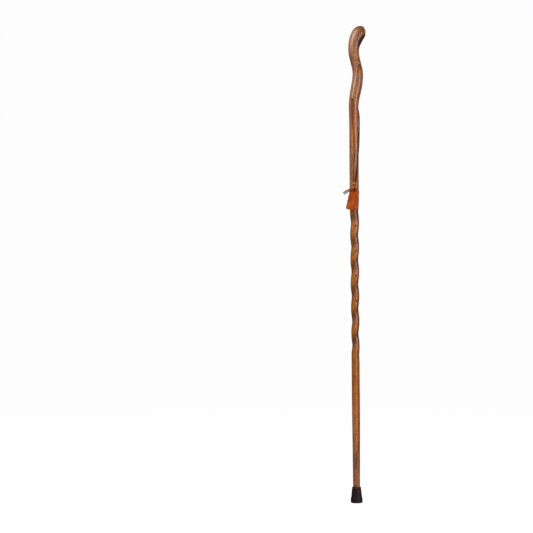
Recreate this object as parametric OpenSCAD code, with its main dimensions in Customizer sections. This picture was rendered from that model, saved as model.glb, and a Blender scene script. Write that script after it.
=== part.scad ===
// Hiking staff: one piece of oak with an S-bent handle, a spiral-carved middle and a turned spigot,
// a rubber tip pushed on the spigot, and a leather wrist thong that carries a leather hang tag.
// Millimetres, +Z up. The origin is at the middle of the tip's ground face, the head leans to +X,
// and -Y is the front, where the knot and the tag hang.

/* [Staff] */
// Overall length, from the ground to the top of the head
staff_length = 1397; // [1250:1:1500]
// Thickness of the plain lower shaft at its fullest
lower_shaft_d = 23.4; // [21.5:0.1:26]
// Height of the fullest place of the lower shaft
lower_shaft_height = 300; // [180:1:360]
// Thickness of the straight shaft between the spiral and the thong hole
upper_shaft_d = 27; // [25:0.1:29]
// Thickness of the staff at the thong hole
neck_d = 29.6; // [28:0.1:31]
// Length over which the shaft swells into the neck, up to the bend
neck_taper = 50; // [30:1:80]

/* [Handle] */
// Where the bend starts, below the top
bend_start_drop = 238; // [225:1:260]
// Where the handle stands furthest out, below the top
outer_bend_drop = 142; // [130:1:160]
// Where the handle comes back in, below the top
inner_bend_drop = 72; // [62:1:86]
// How far the outer bend stands out sideways
outer_bend_offset = 13; // [4:0.5:18]
// How far the inner bend stands out sideways
inner_bend_offset = 1.2; // [-2:0.1:5]
// How far the middle of the head stands out sideways
head_offset = 15.5; // [8:0.1:20]
// Lean of the handle where it ends in the head
head_lean = 30; // [10:1:35]
// Thickness of the handle below the outer bend
outer_bend_d = 31.9; // [29:0.1:34]
// Thickness of the handle above the outer bend
grip_d = 29.3; // [27:0.1:32]
// Thickness of the handle at the inner bend
inner_bend_d = 31.5; // [28:0.1:34]
// Width of the head at its fullest
head_d = 40.3; // [36:0.1:44]
// Height of the rounded end, from where the head is fullest
head_round = 26; // [18:0.5:32]
// Shape of the rounded end: 1 is an ellipse, and more is slimmer
head_taper = 1.2; // [1:0.05:1.4]
// Depth of the head, front to back, as a share of its width
head_flatness = 0.9; // [0.8:0.01:1]

/* [Spiral] */
// Height where the carved spiral starts
spiral_start = 402; // [380:1:450]
// Height that the spiral covers
spiral_length = 500; // [300:1:520]
// Climb of the spiral in one turn
spiral_pitch = 72; // [50:1:110]
// Depth of the carved hollow
spiral_depth = 2.8; // [1:0.1:4]
// Length over which the hollow fades out at each end
spiral_fade = 70; // [30:1:100]
// Direction of the hollow at the start, from +X towards the back
spiral_azimuth = -115; // [-180:1:180]

/* [Rubber tip] */
// Height of the tip
tip_height = 46; // [40:1:60]
// Diameter of the tip's foot
foot_d = 34.6; // [32:0.1:40]
// Height of the foot ring
foot_height = 14; // [10:0.5:16]
// Step from the foot ring in to the cone
foot_step = 1.2; // [0.5:0.1:2]
// Radius of the foot's ground edge
foot_edge = 2.6; // [1:0.1:4]
// Rubber wall at the mouth of the socket
tip_wall = 2.8; // [2:0.1:4]
// Depth of the socket
socket_depth = 36; // [25:1:38]
// Diameter of the turned spigot at the foot of the staff
spigot_d = 20; // [18:0.1:22]
// Shoulder where the shaft stands out over the spigot
spigot_shoulder = 0.25; // [0.2:0.05:0.6]
// Gap all round between the spigot and its socket
spigot_clearance = 0.05; // [0.02:0.01:0.1]
// Number of ring grooves in the tread
tread_rings = 2; // [1:1:2]
// Width of a tread groove
tread_width = 2; // [1:0.1:2.6]
// Depth of a tread groove
tread_depth = 2; // [1:0.1:3]
// Inner radius of the first tread groove
tread_start = 5; // [4:0.5:6]
// Thickness of the steel washer on the socket's floor
washer_t = 1.6; // [1:0.1:2.5]
// Hole of the washer
washer_hole_d = 8; // [5:0.5:12]
// Gap all round between the washer and the socket
washer_clearance = 0.25; // [0.1:0.05:0.5]

/* [Wrist thong] */
// Hole through the staff for the thong
thong_hole_d = 6; // [5.5:0.1:8]
// Middle of that hole, below the top
thong_hole_drop = 217; // [205:1:230]
// Direction of the hole's front mouth, from +X towards the back
thong_hole_azimuth = -120; // [-135:1:-105]
// Width of the leather lace
lace_w = 3.6; // [3:0.1:4.2]
// Thickness of the leather lace
lace_t = 2.2; // [1.8:0.1:2.6]
// Gap under the lace where it rests in its hole
lace_clearance = 0.5; // [0.4:0.1:0.8]
// Middle of the knot, below the hole
knot_drop = 250; // [246:1:254]
// Middle of the knot, in front of the shaft's face
knot_standoff = 6; // [5:0.5:8]
// Place of the knot, sideways from the staff's centre line
knot_side = -2; // [-4:0.5:4]
// Radius of the knot across its front
knot_r = 5.8; // [5:0.1:6.5]
// Half the depth of the knot, front to back
knot_half_depth = 4; // [3:0.1:5]

/* [Hang tag] */
// Width of the tag
tag_w = 29; // [24:1:36]
// Length of the tag
tag_length = 66; // [50:1:80]
// Thickness of the tag's leather
tag_t = 2.5; // [2:0.1:3]
// Radius of the tag's lower corners
tag_corner_r = 4; // [2:0.5:10]
// Hole in the tag
tag_hole_d = 5.8; // [5.4:0.1:7]
// Middle of the tag's hole, below its top edge
tag_hole_drop = 9; // [7:0.5:10]
// Middle of the tag's hole, below the middle of the knot
tag_drop = 17; // [16:0.5:24]
// Middle of the tag's hole, sideways from the middle of the knot
tag_side = 2.2; // [-4:0.1:4]
// Middle of the tag, behind the middle of the knot
tag_set_back = 1.2; // [0:0.1:1.4]
// Lean of the tag, with its lower end towards -X
tag_lean = 13; // [-20:1:30]
// Gap between the tag's faces and the lace that carries it
tag_clearance = 0.35; // [0.2:0.05:0.6]

/* [Hidden] */
$fn = 64;

staff_sides = 24;        // facets round the carved staff
shaft_rings = 7;         // rings along each plain stretch of the shaft
rings_per_turn = 10;     // rings along one turn of the spiral
handle_rings = 20;       // rings along the bent handle
head_rings = 7;          // rings from the handle to where the head is fullest
cap_rings = 8;           // rings over the rounded end of the head
hollow_power = 1.5;      // makes the carved hollow narrower than the ridge
through = 1;             // how far a cut runs past the face that it opens

// Radius of the head's rounded end, at an angle up from where the head is fullest
function cap_r(up) = head_d / 2 * pow(cos(up), head_taper);

// Heights along the staff
spiral_end = spiral_start + spiral_length;
bend_start_z = staff_length - bend_start_drop;
outer_bend_z = staff_length - outer_bend_drop;
inner_bend_z = staff_length - inner_bend_drop;
head_z = staff_length - max([for (up = [0 : 90])
    cap_r(up) * sin(head_lean) + head_round * sin(up) * cos(head_lean)]);
hole_z = staff_length - thong_hole_drop;
socket_floor_z = tip_height - socket_depth;
spigot_end_z = socket_floor_z + washer_t;
shaft_start_z = tip_height + spigot_shoulder;
spigot_root_z = shaft_start_z + spigot_d;
shaft_start_d = spigot_d + 2 * spigot_shoulder;

function clamp01(t) = min(1, max(0, t));
function ease(t) = t * t * (3 - 2 * t);

// A cubic through two stations [height, value, slope]
function cubic(a, b, z) =
    let (h = b[0] - a[0], t = clamp01((z - a[0]) / h))
    a[1] * (1 - ease(t)) + b[1] * ease(t)
    + h * t * (1 - t) * (a[2] * (1 - t) - b[2] * t);
function segment(s, z, i = 0) = i >= len(s) - 2 || z < s[i + 1][0] ? i : segment(s, z, i + 1);
function along(s, z) = let (i = segment(s, z)) cubic(s[i], s[i + 1], z);

// The slope of each inner station is the slope between its neighbours
function with_slopes(s) = [for (i = [0 : len(s) - 1])
    let (a = s[max(0, i - 1)], b = s[min(len(s) - 1, i + 1)])
    [s[i][0], s[i][1], (b[1] - a[1]) / (b[0] - a[0])]];

// Sideways place of the staff's centre line
spine = [[shaft_start_z, 0, 0],
         [bend_start_z, 0, 0],
         [outer_bend_z, outer_bend_offset, 0],
         [inner_bend_z, inner_bend_offset, 0],
         [head_z, head_offset, tan(head_lean)]];
function spine_x(z) = along(spine, z);
slope_step = 0.5;
function spine_lean(z) =
    z >= head_z ? head_lean : atan((spine_x(z + slope_step) - spine_x(z)) / slope_step);

// Thickness of the staff before the spiral is carved
thickness = concat(with_slopes([
    [shaft_start_z, shaft_start_d],
    [lower_shaft_height, lower_shaft_d],
    [spiral_start, lower_shaft_d],
    [spiral_end, upper_shaft_d],
    [bend_start_z - neck_taper, upper_shaft_d],
    [hole_z, neck_d],
    [(hole_z + outer_bend_z) / 2, outer_bend_d],
    [outer_bend_z, (outer_bend_d + grip_d) / 2],
    [(outer_bend_z + inner_bend_z) / 2, grip_d],
    [inner_bend_z, inner_bend_d]]),
    [[head_z, head_d, 0]]);
function staff_d(z) = along(thickness, z);
function flatness(z) = 1 - (1 - head_flatness) * ease(clamp01((z - inner_bend_z) / (head_z - inner_bend_z)));

// The spiral is a hollow whose direction turns with height, right-handed, and fades at both ends
function hollow_azimuth(z) = spiral_azimuth + 360 * (z - spiral_start) / spiral_pitch;
function hollow_depth(z) = spiral_depth * ease(clamp01((z - spiral_start) / spiral_fade))
    * ease(clamp01((spiral_end - z) / spiral_fade));
function staff_r(z, azimuth) = staff_d(z) / 2
    - hollow_depth(z) * pow((1 + cos(azimuth - hollow_azimuth(z))) / 2, hollow_power);

// A ring of the staff at a height, square to its centre line
function staff_ring(z) = let (lean = spine_lean(z)) [for (k = [0 : staff_sides - 1])
    let (a = 360 * k / staff_sides, r = staff_r(z, a), u = r * cos(a), v = r * sin(a) * flatness(z))
    [spine_x(z) + u * cos(lean), v, z - u * sin(lean)]];
// A ring of the head's rounded end
function cap_ring(up) = [for (k = [0 : staff_sides - 1])
    let (a = 360 * k / staff_sides, r = cap_r(up), w = head_round * sin(up),
         u = r * cos(a), v = r * sin(a) * head_flatness)
    [head_offset + u * cos(head_lean) + w * sin(head_lean), v,
     head_z - u * sin(head_lean) + w * cos(head_lean)]];
function steps(a, b, n) = [for (i = [0 : n - 1]) a + (b - a) * i / n];

// Side faces between rings of equal size, wound to face outwards
function skin(rings, sides) = [for (i = [0 : rings - 2], k = [0 : sides - 1])
    let (m = (k + 1) % sides, a = i * sides + k, b = i * sides + m, c = a + sides, d = b + sides)
    each [[a, c, b], [b, c, d]]];

module carved_staff() {
    heights = concat(
        steps(shaft_start_z, spiral_start, shaft_rings),
        steps(spiral_start, spiral_end, ceil(spiral_length / spiral_pitch * rings_per_turn)),
        steps(spiral_end, bend_start_z, shaft_rings),
        steps(bend_start_z, inner_bend_z, handle_rings),
        steps(inner_bend_z, head_z, head_rings));
    rings = concat(
        [for (z = heights) staff_ring(z)],
        [for (i = [0 : cap_rings - 1]) cap_ring(90 * i / cap_rings)]);
    pole = [head_offset + head_round * sin(head_lean), 0, head_z + head_round * cos(head_lean)];
    points = concat([for (ring = rings) each ring], [pole]);
    last = (len(rings) - 1) * staff_sides;
    polyhedron(points, concat(
        [[for (k = [0 : staff_sides - 1]) k]],
        skin(len(rings), staff_sides),
        [for (k = [0 : staff_sides - 1]) [last + k, len(points) - 1, last + (k + 1) % staff_sides]]));
}

module thong_hole() {
    translate([spine_x(hole_z), 0, hole_z]) rotate([0, 90, thong_hole_azimuth])
        cylinder(d = thong_hole_d, h = 2 * neck_d, center = true);
}

module oak_staff() {
    color("#b07a55") difference() {
        union() {
            carved_staff();
            translate([0, 0, spigot_end_z]) cylinder(d = spigot_d, h = spigot_root_z - spigot_end_z);
        }
        thong_hole();
    }
}

// The tip is a cone over a foot ring, with a rounded ground edge and ring grooves in its sole
socket_r = spigot_d / 2 + spigot_clearance;
mouth_r = socket_r + tip_wall;
foot_r = foot_d / 2;
cone_r = foot_r - foot_step;

module tip_outline() {
    polygon([[0, foot_edge], [foot_r, foot_edge], [foot_r, foot_height],
             [cone_r, foot_height + foot_step], [mouth_r, tip_height], [0, tip_height]]);
    square([foot_r - foot_edge, foot_edge + foot_step]);
    translate([foot_r - foot_edge, foot_edge]) circle(r = foot_edge);
}

module rubber_tip() {
    tread_step = (foot_r - foot_edge - tread_start) / tread_rings;
    color("#2a2428") difference() {
        rotate_extrude() intersection() {
            tip_outline();
            square([foot_d, tip_height]);
        }
        translate([0, 0, socket_floor_z]) cylinder(r = socket_r, h = socket_depth + through);
        for (i = [0 : tread_rings - 1]) rotate_extrude()
            translate([tread_start + i * tread_step, -through]) square([tread_width, tread_depth + through]);
    }
}

module tip_washer() {
    color("#9aa0a4") translate([0, 0, socket_floor_z]) difference() {
        cylinder(r = socket_r - washer_clearance, h = washer_t);
        translate([0, 0, -through]) cylinder(d = washer_hole_d, h = washer_t + 2 * through);
    }
}

// Routes of the thong's legs beside the staff: [drop below the hole, azimuth, stand-off of the lace]
lace_seat = (thong_hole_d - lace_t) / 2 - lace_clearance;
front_route = [[lace_seat, -120, 0.5], [lace_seat + 0.8, -119, 2.2], [4.6, -115, 3.3], [8, -112, 3.3],
               [13, -111, 2.9], [20, -111, 2.5], [32, -111, 2.2], [44, -111, 2.1], [60, -110, 2.1],
               [78, -109, 2.1], [96, -107, 2.1], [114, -106, 2.1], [132, -105, 2.1], [150, -103, 2.1],
               [168, -102, 2.1], [186, -100, 2.1], [204, -98, 2.2], [220, -96, 2.6], [232, -93.5, 3.3],
               [242, -90.5, 4.2]];
rear_route = [[lace_seat, 60, 0.5], [lace_seat + 0.8, 60, 2.2], [4.6, 58, 3.3], [8, 55, 3.3], [13, 50, 2.9],
              [20, 41, 2.4], [30, 28, 2], [42, 16, 2], [56, 6, 2.3], [72, -2, 2.3], [88, -9, 2],
              [104, -16, 1.9], [122, -24, 1.9], [140, -33, 1.9], [158, -42, 1.9], [176, -50, 1.9],
              [194, -57, 1.9], [210, -63, 2], [222, -68, 2.4], [234, -74, 3.3], [243, -77, 4.2]];
// Ends of the legs inside the knot, from its middle
front_end = [1.2, 0.8, 2];
rear_end = [3, 0.6, 0.5];

function beside_staff(p) = let (z = hole_z - p[0], r = staff_r(z, p[1]) + p[2])
    [spine_x(z) + r * cos(p[1]), r * sin(p[1]), z];
function across_staff(p) = [-sin(p[1]), cos(p[1]), 0];
lace_middle = [spine_x(hole_z), 0, hole_z - lace_seat];
knot_z = hole_z - knot_drop;
knot_middle = [knot_side, -staff_r(knot_z, -90) - knot_standoff, knot_z];

// A flat lace with trimmed corners, swept along its route's own points
lace_corner = lace_t / 4;
lace_section = let (a = lace_w / 2, b = lace_t / 2, c = lace_corner)
    [[a, c - b], [a, b - c], [a - c, b], [c - a, b], [-a, b - c], [-a, c - b], [c - a, -b], [a - c, -b]];
function unit(v) = v / norm(v);
module lace(route, across) {
    sides = len(lace_section);
    last = len(route) - 1;
    points = [for (i = [0 : last])
        let (t = unit(route[min(i + 1, last)] - route[max(i - 1, 0)]),
             w = unit(across[i] - (across[i] * t) * t), n = cross(t, w))
        for (s = lace_section) route[i] + s[0] * w + s[1] * n];
    polyhedron(points, concat(
        [[for (k = [0 : sides - 1]) k]],
        skin(last + 1, sides),
        [[for (k = [sides - 1 : -1 : 0]) last * sides + k]]));
}

// Each leg starts at the middle of the hole and ends in the knot
module thong_leg(route, end) {
    color("#6b2412") lace(
        concat([lace_middle], [for (p = route) beside_staff(p)], [knot_middle + end]),
        concat([across_staff(route[0])], [for (p = route) across_staff(p)], [[1, 0, 0]]));
}
module thong_front_leg() thong_leg(front_route, front_end);
module thong_rear_leg() thong_leg(rear_route, rear_end);

// The knot is a rounded bun with two turns of lace arching over its front
arch_radii = [knot_r - lace_t / 2, knot_r - 1.5 * lace_t];
arch_span = 210;
module thong_knot() {
    edge = knot_half_depth;
    color("#7a2c14") translate(knot_middle) rotate([90, 0, 0]) {
        rotate_extrude() {
            translate([0, -edge]) square([knot_r - edge, 2 * edge]);
            intersection() {
                translate([knot_r - edge, 0]) circle(r = edge);
                translate([0, -edge]) square([knot_r, 2 * edge]);
            }
        }
        for (r = arch_radii) translate([0, 0, edge - lace_t / 2])
            rotate([0, 0, 90 - arch_span / 2]) rotate_extrude(angle = arch_span)
                translate([r, 0]) circle(d = lace_t);
    }
}

// The tails leave the knot to the lower left, in front of the tag: points from the knot's middle.
// The upper one lies flat to the front, and the lower one stands on its edge.
upper_tail_route = [[0, -1.2, -3], [-1.4, -1.8, -5.6], [-4.5, -2.1, -8.2], [-11, -2.2, -12], [-18, -2.2, -16],
                    [-25, -2.1, -20], [-31.5, -2, -23.8]];
lower_tail_route = [[1, -2, -4.5], [0, -2.7, -8], [-2.6, -2.9, -11.2], [-9, -2.9, -15.4], [-16, -2.9, -20],
                    [-23, -2.9, -24.6], [-29.8, -2.8, -29]];
module thong_tail(route, across) {
    color("#8a4a1c") lace([for (p = route) knot_middle + p], [for (p = route) across]);
}
module thong_upper_tail() thong_tail(upper_tail_route, [1, 0, -1]);
module thong_lower_tail() thong_tail(lower_tail_route, [0, 1, 0]);

// The tag hangs on a short loop of lace that goes down its front, through its hole and up its back
tag_hole = knot_middle + [tag_side, tag_set_back, -tag_drop];
loop_r = tag_t / 2 + tag_clearance + lace_t / 2;
loop_bend = [for (a = [-90 : 30 : 90]) [0, loop_r * sin(a), loop_r * (1 - cos(a))]];
loop_rise = tag_drop - loop_r - knot_r / 2;
straight_share = 0.95;   // how much of the loop's rise is straight, before it draws into the knot
module tag_loop() {
    front = tag_hole + loop_bend[0];
    back = tag_hole + loop_bend[len(loop_bend) - 1];
    lift = [-tag_side, 0, loop_rise];
    draw_in = [0, loop_r / 2, 0];
    straight = straight_share * lift;
    route = concat([front + lift + draw_in, front + straight], [for (p = loop_bend) tag_hole + p],
                   [back + straight, back + lift - draw_in]);
    color("#7a2c14") lace(route, [for (p = route) [1, 0, 0]]);
}

module hang_tag() {
    round_r = tag_w / 2;
    shank = tag_length - round_r;
    color("#b85a1c") translate(tag_hole) rotate([90, tag_lean, 0])
        translate([0, tag_hole_drop - round_r, -tag_t / 2]) difference() {
            union() {
                cylinder(r = round_r, h = tag_t);
                translate([-round_r, tag_corner_r - shank, 0]) cube([tag_w, shank - tag_corner_r, tag_t]);
                translate([tag_corner_r - round_r, -shank, 0]) cube([tag_w - 2 * tag_corner_r, shank, tag_t]);
                for (side = [-1, 1]) translate([side * (round_r - tag_corner_r), tag_corner_r - shank, 0])
                    cylinder(r = tag_corner_r, h = tag_t);
            }
            translate([0, round_r - tag_hole_drop, -through])
                cylinder(d = tag_hole_d, h = tag_t + 2 * through);
        }
}

oak_staff();
rubber_tip();
tip_washer();
thong_front_leg();
thong_rear_leg();
thong_knot();
thong_upper_tail();
thong_lower_tail();
tag_loop();
hang_tag();
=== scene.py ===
import math

import bpy
import numpy as np
from mathutils import Matrix, Vector


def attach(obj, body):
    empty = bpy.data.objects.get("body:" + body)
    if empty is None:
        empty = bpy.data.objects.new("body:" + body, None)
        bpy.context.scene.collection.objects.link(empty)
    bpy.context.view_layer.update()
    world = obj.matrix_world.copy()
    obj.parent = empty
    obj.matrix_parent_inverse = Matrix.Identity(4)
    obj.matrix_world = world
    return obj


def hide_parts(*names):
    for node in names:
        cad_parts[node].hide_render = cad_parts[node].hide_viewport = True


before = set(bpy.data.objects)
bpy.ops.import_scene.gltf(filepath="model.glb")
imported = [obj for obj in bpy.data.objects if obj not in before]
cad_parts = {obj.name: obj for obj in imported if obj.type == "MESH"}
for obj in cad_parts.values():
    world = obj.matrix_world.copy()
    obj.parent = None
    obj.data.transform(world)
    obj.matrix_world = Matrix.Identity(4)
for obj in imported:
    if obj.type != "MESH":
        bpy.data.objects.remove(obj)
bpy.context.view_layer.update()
print("frame:", len(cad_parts), "solids loaded")

# Lengths of the part are in millimetres, as in its source, and become metres when a mesh is made
mm = 0.001
staffLength = 1397


def ease(t):  # slow start and slow end: 3 t^2 - 2 t^3
    return t * t * (3 - 2 * t)


def fade(t):  # the same, held at 0 before and 1 after
    return ease(np.clip(t, 0, 1))


def unit(v):  # each vector over its own length
    return v / np.linalg.norm(v, axis=-1, keepdims=True)


def ringAngles(count):  # equal steps of one full turn
    return np.linspace(0, 2 * np.pi, count, endpoint=False)


def runAlong(points):  # the way covered from the first point to each
    return np.concatenate([[0], np.cumsum(np.linalg.norm(np.diff(points, axis=0), axis=1))])


def rowsAt(spots, run, rows):  # rows read at spots along their run, in straight lines between them
    return np.stack([np.interp(spots, run, column) for column in rows.T], -1)


def neighbourSlopes(where, values):
    # the slope at each station is the slope between its two neighbours
    spot = np.arange(len(where))
    before = np.maximum(spot - 1, 0)
    after = np.minimum(spot + 1, len(where) - 1)
    run = where[after] - where[before]
    return (values[after] - values[before]) / (run if values.ndim == 1 else run[:, None])


def cubicThrough(where, values, slopes, at):
    # between two stations: their values mixed by the ease, plus what the two slopes add
    i = np.clip(np.searchsorted(where, at, side="right") - 1, 0, len(where) - 2)
    run = where[i + 1] - where[i]
    t = np.clip((at - where[i]) / run, 0, 1)
    if values.ndim > 1:
        run, t = run[..., None], t[..., None]
    mixed = values[i] * (1 - ease(t)) + values[i + 1] * ease(t)
    return mixed + run * t * (1 - t) * (slopes[i] * (1 - t) - slopes[i + 1] * t)


def smoothRoute(rows, step, finer=40):
    # rows [x, y, z, more...] joined by cubics over their chord length, then spaced evenly
    rows = np.asarray(rows, float)
    chord = runAlong(rows[:, :3])
    spots = np.linspace(0, chord[-1], finer * len(rows))
    fine = cubicThrough(chord, rows, neighbourSlopes(chord, rows), spots)
    run = runAlong(fine[:, :3])
    return rowsAt(np.linspace(0, run[-1], int(run[-1] / step)), run, fine)


def sweep(path, across, section):
    # a section point goes sideways along 'across', made square to the path, and outwards along the
    # cross product of the two
    along = unit(np.gradient(path, axis=0))
    side = unit(across - (across * along).sum(-1, keepdims=True) * along)
    out = np.cross(along, side)
    return path[:, None] + section[..., :1] * side[:, None] + section[..., 1:] * out[:, None]


def roundedBar(width, thick, corner, count):
    # a superellipse: the powers of cosine and sine pull its corners out towards a rectangle
    turn = ringAngles(count)
    circle = np.stack([np.cos(turn), np.sin(turn)], -1)
    return np.array([width, thick]) / 2 * np.sign(circle) * np.abs(circle) ** (2 / corner)


def arc(middle, radius, first, last, count):  # points of a circle between two angles, in degrees
    turn = np.radians(np.linspace(first, last, count))
    return np.stack([middle[0] + radius * np.cos(turn), middle[1] + radius * np.sin(turn)], -1)


def linked(name, data):
    piece = bpy.data.objects.new(name, data)
    bpy.context.scene.collection.objects.link(piece)
    return piece


def skin(name, grid, poles=(None, None), wrap=False, marks=None):
    # rows of closed rings joined by quads; a pole closes an end with a fan of triangles, and wrap
    # joins the last row to the first
    rows, ring = grid.shape[:2]
    points = grid.reshape(-1, 3)
    spot = np.arange(ring)
    ahead = (spot + 1) % ring
    start = np.arange(rows if wrap else rows - 1)[:, None] * ring
    beyond = (start + ring) % (rows * ring)
    quads = np.stack([start + spot, start + ahead, beyond + ahead, beyond + spot], -1).reshape(-1, 4)
    marks = {key: np.broadcast_to(value, (rows, ring)) for key, value in (marks or {}).items()}
    values = {key: value.ravel() for key, value in marks.items()}
    fans = []
    for pole, row in zip(poles, (0, rows - 1)):
        if pole is None:
            continue
        peak = np.full(ring, len(points))
        points = np.vstack([points, [pole]])
        edge = [row * ring + spot, row * ring + ahead]
        fans.append(np.stack([*(edge[::-1] if row == 0 else edge), peak], -1))
        values = {key: np.append(value, marks[key][row].mean()) for key, value in values.items()}
    a, b, c = points[np.vstack([quads[:, [0, 1, 2]], quads[:, [0, 2, 3]], *fans]).T]
    volume = (a * np.cross(b, c)).sum() / 6
    if volume < 0:  # the faces point inwards
        quads, fans = quads[:, ::-1], [fan[:, ::-1] for fan in fans]
    faces = sum((part.tolist() for part in [quads, *fans]), [])
    mesh = bpy.data.meshes.new(name)
    mesh.from_pydata((points * mm).tolist(), [], faces)
    for key, value in values.items():
        mesh.attributes.new(key, "FLOAT", "POINT").data.foreach_set("value", value.astype(np.float32))
    mesh.polygons.foreach_set("use_smooth", np.ones(len(faces), bool))
    mesh.update()
    return linked(name, mesh)


def lathe(name, profile, count, poles):
    # each profile point [radius, height] goes once round the Z axis
    turn = ringAngles(count)
    radius, height = np.asarray(profile, float).T[..., None]
    return skin(name, np.stack([radius * np.cos(turn), radius * np.sin(turn), height + 0 * turn], -1), poles)


# Finishes: a small class writes shader maths as plain expressions
def linear(red, green, blue):  # a screen colour, 0 to 255, made linear for the shader
    share = np.array([red, green, blue]) / 255
    return (*np.where(share < 0.04045, share / 12.92, ((share + 0.055) / 1.055) ** 2.4).tolist(), 1.0)


class Wire:
    # one socket of a material: arithmetic on values adds Math nodes
    def __init__(self, tree, socket=None):
        self.tree, self.socket = tree, socket

    def feed(self, socket, value):
        if isinstance(value, Wire):
            self.tree.links.new(value.socket, socket)
        else:
            socket.default_value = value

    def node(self, kind, settings=None, inputs=None, out=0):
        made = self.tree.nodes.new(kind)
        for key, value in (settings or {}).items():
            if key == "stops":
                self.setStops(made.color_ramp.elements, value)
            else:
                setattr(made, key, value)
        for key, value in (inputs or {}).items():
            self.feed(made.inputs[key], value)
        return Wire(self.tree, made.outputs[out])

    def setStops(self, elements, stops):  # a new ramp has two stops, and more are added
        for k, (position, colour) in enumerate(stops):
            stop = elements[k] if k < 2 else elements.new(position)
            stop.position, stop.color = position, colour

    def maths(self, operation, *others):
        return self.node("ShaderNodeMath", {"operation": operation}, dict(enumerate([self, *others])))

    def __add__(self, other):
        return self.maths("ADD", other)

    def __sub__(self, other):
        return self.maths("SUBTRACT", other)

    def __rsub__(self, other):
        return self.node("ShaderNodeMath", {"operation": "SUBTRACT"}, {0: other, 1: self})

    def __mul__(self, other):
        return self.maths("MULTIPLY", other)

    def __truediv__(self, other):
        return self.maths("DIVIDE", other)

    __radd__ = __add__
    __rmul__ = __mul__

    def between(self, low, high):  # 0 below low, 1 above high, eased between
        return self.node("ShaderNodeMapRange", {"interpolation_type": "SMOOTHSTEP"},
                         {"Value": self, "From Min": low, "From Max": high})

    def within(self, low, full, falling, gone):  # rises from low to full and falls from falling to gone
        return self.between(low, full) * (1 - self.between(falling, gone))

    def atLeast(self, floor):  # a share, 0 to 1, squeezed so that it starts from a floor
        return floor + (1 - floor) * self

    def scaled(self, factors):  # a place stretched along its three axes
        return self.node("ShaderNodeVectorMath", {"operation": "MULTIPLY"}, {0: self, 1: factors})

    def split(self):  # a place's three coordinates
        parts = self.node("ShaderNodeSeparateXYZ", inputs={0: self}).socket.node.outputs
        return [Wire(self.tree, part) for part in parts]

    def attribute(self, name):  # a mark that the mesh carries
        return self.node("ShaderNodeAttribute", {"attribute_name": name}, out="Fac")

    def noise(self, factors, detail=2.0, rough=0.5):  # cloudy values, 0 to 1, of a stretched place
        return self.node("ShaderNodeTexNoise", inputs={"Vector": self.scaled(factors), "Scale": 1.0,
                                                       "Detail": detail, "Roughness": rough})

    def sway(self, factors, height, detail=2.0):  # cloudy values about zero
        return (self.noise(factors, detail) - 0.5) * height

    def ramp(self, stops):  # this value, 0 to 1, as a colour between the stops
        return self.node("ShaderNodeValToRGB", {"stops": stops}, {"Fac": self})

    # a Mix node's colours go in at sockets 6 and 7 and come out at 2
    def mixed(self, low, high):  # two colours mixed by this value
        return self.node("ShaderNodeMix", {"data_type": "RGBA"}, {0: self, 6: low, 7: high}, out=2)

    def times(self, other, share=1.0):  # this colour tinted by another
        return self.node("ShaderNodeMix", {"data_type": "RGBA", "blend_type": "MULTIPLY"},
                         {0: share, 6: self, 7: other}, out=2)


def newFinish(name):
    material = bpy.data.materials.new(name)
    material.use_nodes = True
    return material


def placeOn(material):  # the place on the part, in millimetres
    return Wire(material.node_tree).node("ShaderNodeTexCoord", out="Object").scaled((1 / mm,) * 3)


def finished(material, inputs):  # values and wires go into the sockets of the material's one shader
    shader = material.node_tree.nodes["Principled BSDF"]
    for key, value in inputs.items():
        Wire(material.node_tree).feed(shader.inputs[key], value)
    return material


def relief(height, distance, strength):  # a Bump node's normal, with its height in millimetres
    return height.node("ShaderNodeBump",
                       inputs={"Height": height, "Distance": distance * mm, "Strength": strength})


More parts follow.
